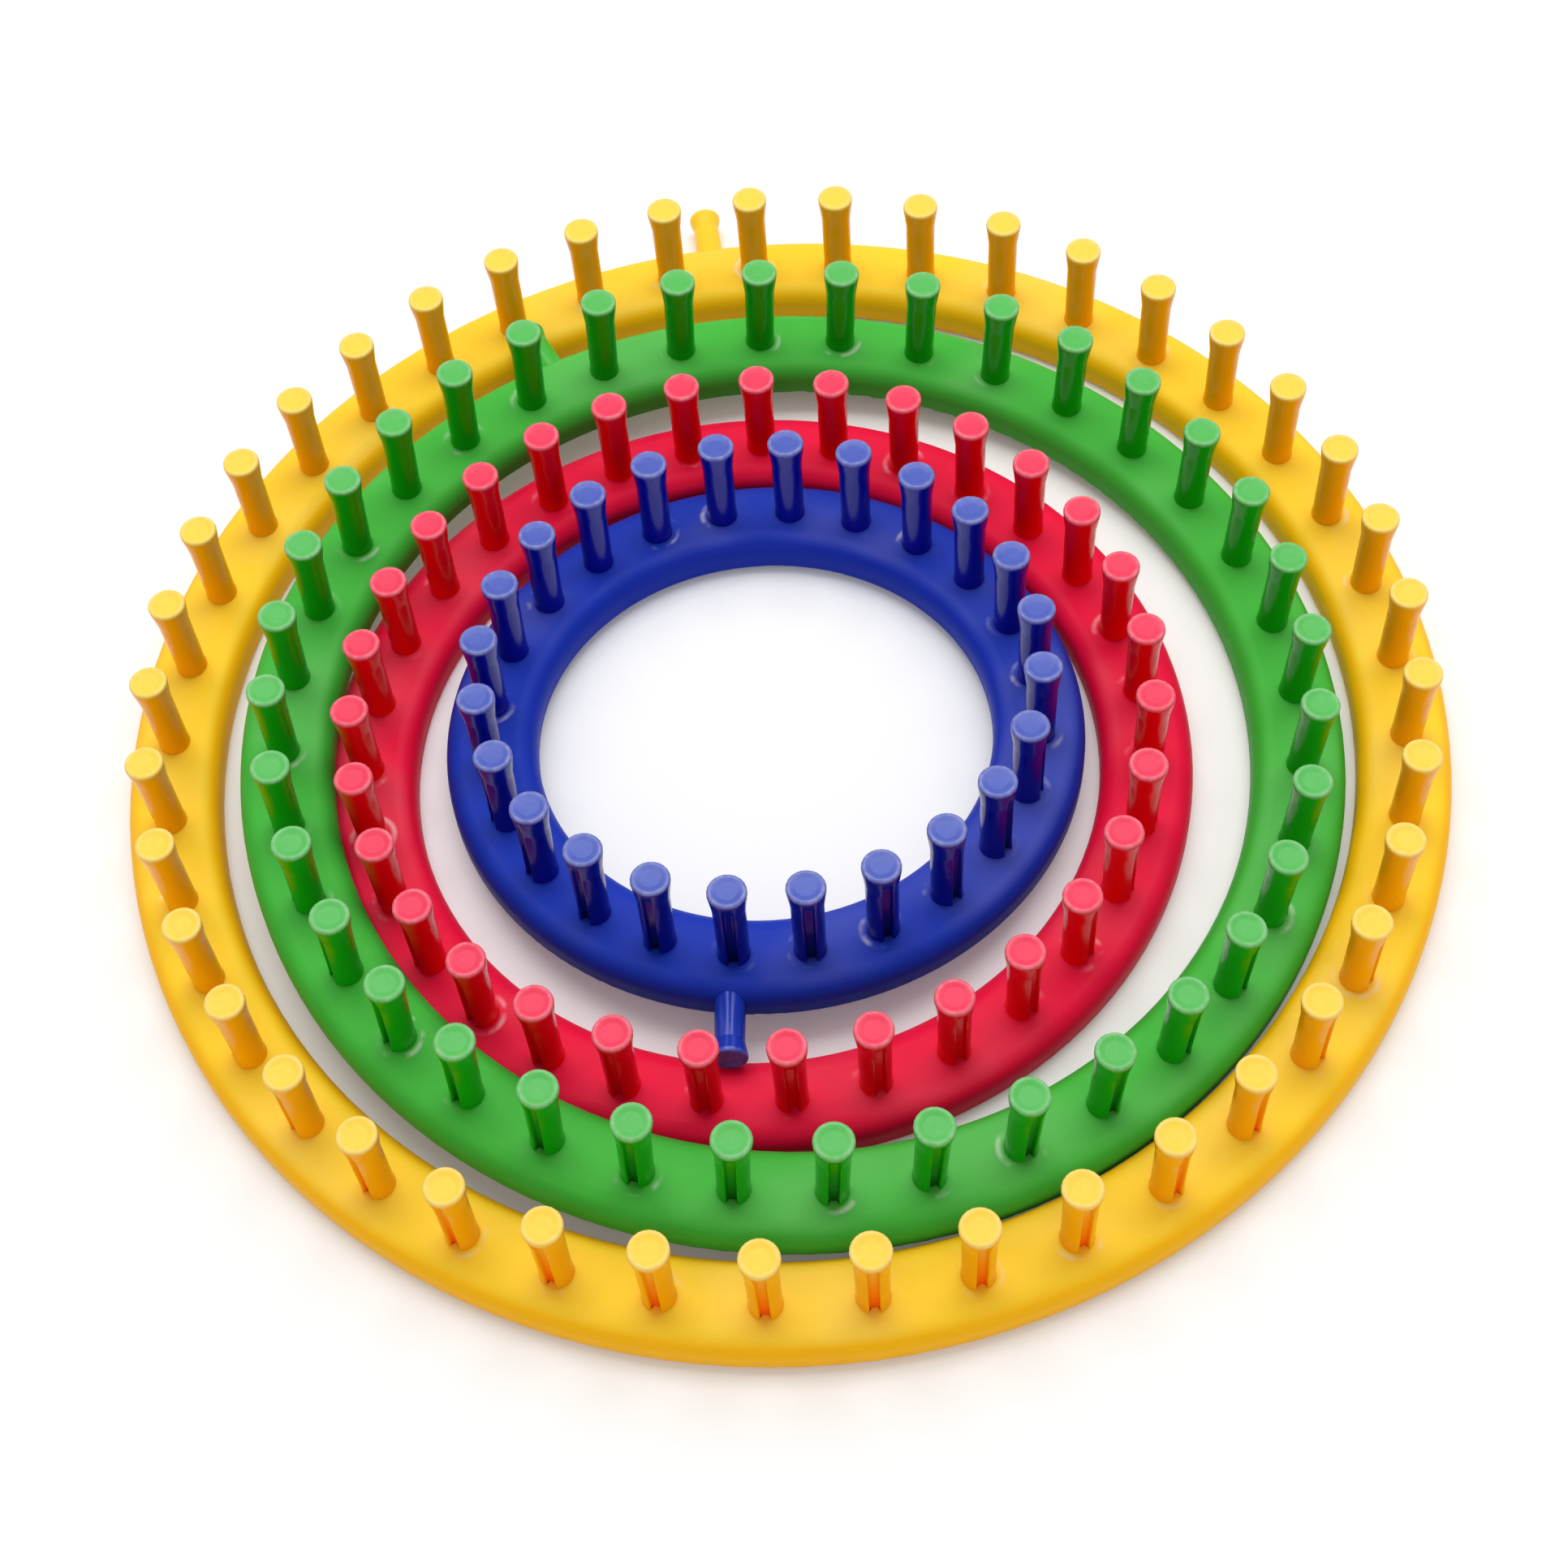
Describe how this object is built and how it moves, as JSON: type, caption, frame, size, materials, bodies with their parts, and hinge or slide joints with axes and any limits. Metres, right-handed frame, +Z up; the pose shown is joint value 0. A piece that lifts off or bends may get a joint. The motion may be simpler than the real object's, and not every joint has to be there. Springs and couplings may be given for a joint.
{
  "type": "round knitting loom set",
  "caption": "Nested round knitting looms: flat moulded plastic rings with grooved, round-headed pegs around the top and a short anchor peg in the side.",
  "frame": {"origin": "centre of the outermost ring, on the table", "axes": "+Z up out of the rings, +X to the right and -Y to the front as the picture shows them"},
  "size_m": [0.29, 0.3013, 0.0422],
  "materials": {
    "yellow_plastic": "glossy moulded plastic",
    "green_plastic": "glossy moulded plastic",
    "red_plastic": "glossy moulded plastic",
    "blue_plastic": "glossy moulded plastic"
  },
  "bodies": {
    "yellow_loom": {"yellow_ring": "yellow_plastic", "yellow_anchor_peg": "yellow_plastic", "yellow_pegs_1": "yellow_plastic", "yellow_pegs_2": "yellow_plastic", "yellow_pegs_3": "yellow_plastic", "yellow_pegs_4": "yellow_plastic", "yellow_pegs_5": "yellow_plastic", "yellow_pegs_6": "yellow_plastic", "yellow_pegs_7": "yellow_plastic", "yellow_pegs_8": "yellow_plastic", "yellow_pegs_9": "yellow_plastic", "yellow_pegs_10": "yellow_plastic", "yellow_pegs_11": "yellow_plastic", "yellow_pegs_12": "yellow_plastic", "yellow_pegs_13": "yellow_plastic", "yellow_pegs_14": "yellow_plastic"},
    "green_loom": {"green_ring": "green_plastic", "green_anchor_peg": "green_plastic", "green_pegs_1": "green_plastic", "green_pegs_2": "green_plastic", "green_pegs_3": "green_plastic", "green_pegs_4": "green_plastic", "green_pegs_5": "green_plastic", "green_pegs_6": "green_plastic", "green_pegs_7": "green_plastic", "green_pegs_8": "green_plastic", "green_pegs_9": "green_plastic", "green_pegs_10": "green_plastic", "green_pegs_11": "green_plastic", "green_pegs_12": "green_plastic"},
    "red_loom": {"red_ring": "red_plastic", "red_anchor_peg": "red_plastic", "red_pegs_1": "red_plastic", "red_pegs_2": "red_plastic", "red_pegs_3": "red_plastic", "red_pegs_4": "red_plastic", "red_pegs_5": "red_plastic", "red_pegs_6": "red_plastic", "red_pegs_7": "red_plastic", "red_pegs_8": "red_plastic", "red_pegs_9": "red_plastic", "red_pegs_10": "red_plastic", "red_pegs_11": "red_plastic"},
    "blue_loom": {"blue_ring": "blue_plastic", "blue_anchor_peg": "blue_plastic", "blue_pegs_1": "blue_plastic", "blue_pegs_2": "blue_plastic", "blue_pegs_3": "blue_plastic", "blue_pegs_4": "blue_plastic", "blue_pegs_5": "blue_plastic", "blue_pegs_6": "blue_plastic", "blue_pegs_7": "blue_plastic", "blue_pegs_8": "blue_plastic"}
  },
  "joints": [
    {"name": "red_lift", "type": "slide", "parent": "yellow_loom", "child": "red_loom", "axis": [0, 0, 1], "range_m": [0, 0.06]},
    {"name": "green_lift", "type": "slide", "parent": "red_loom", "child": "green_loom", "axis": [0, 0, 1], "range_m": [0, 0.06]},
    {"name": "blue_lift", "type": "slide", "parent": "red_loom", "child": "blue_loom", "axis": [0, 0, 1], "range_m": [0, 0.06]}
  ]
}
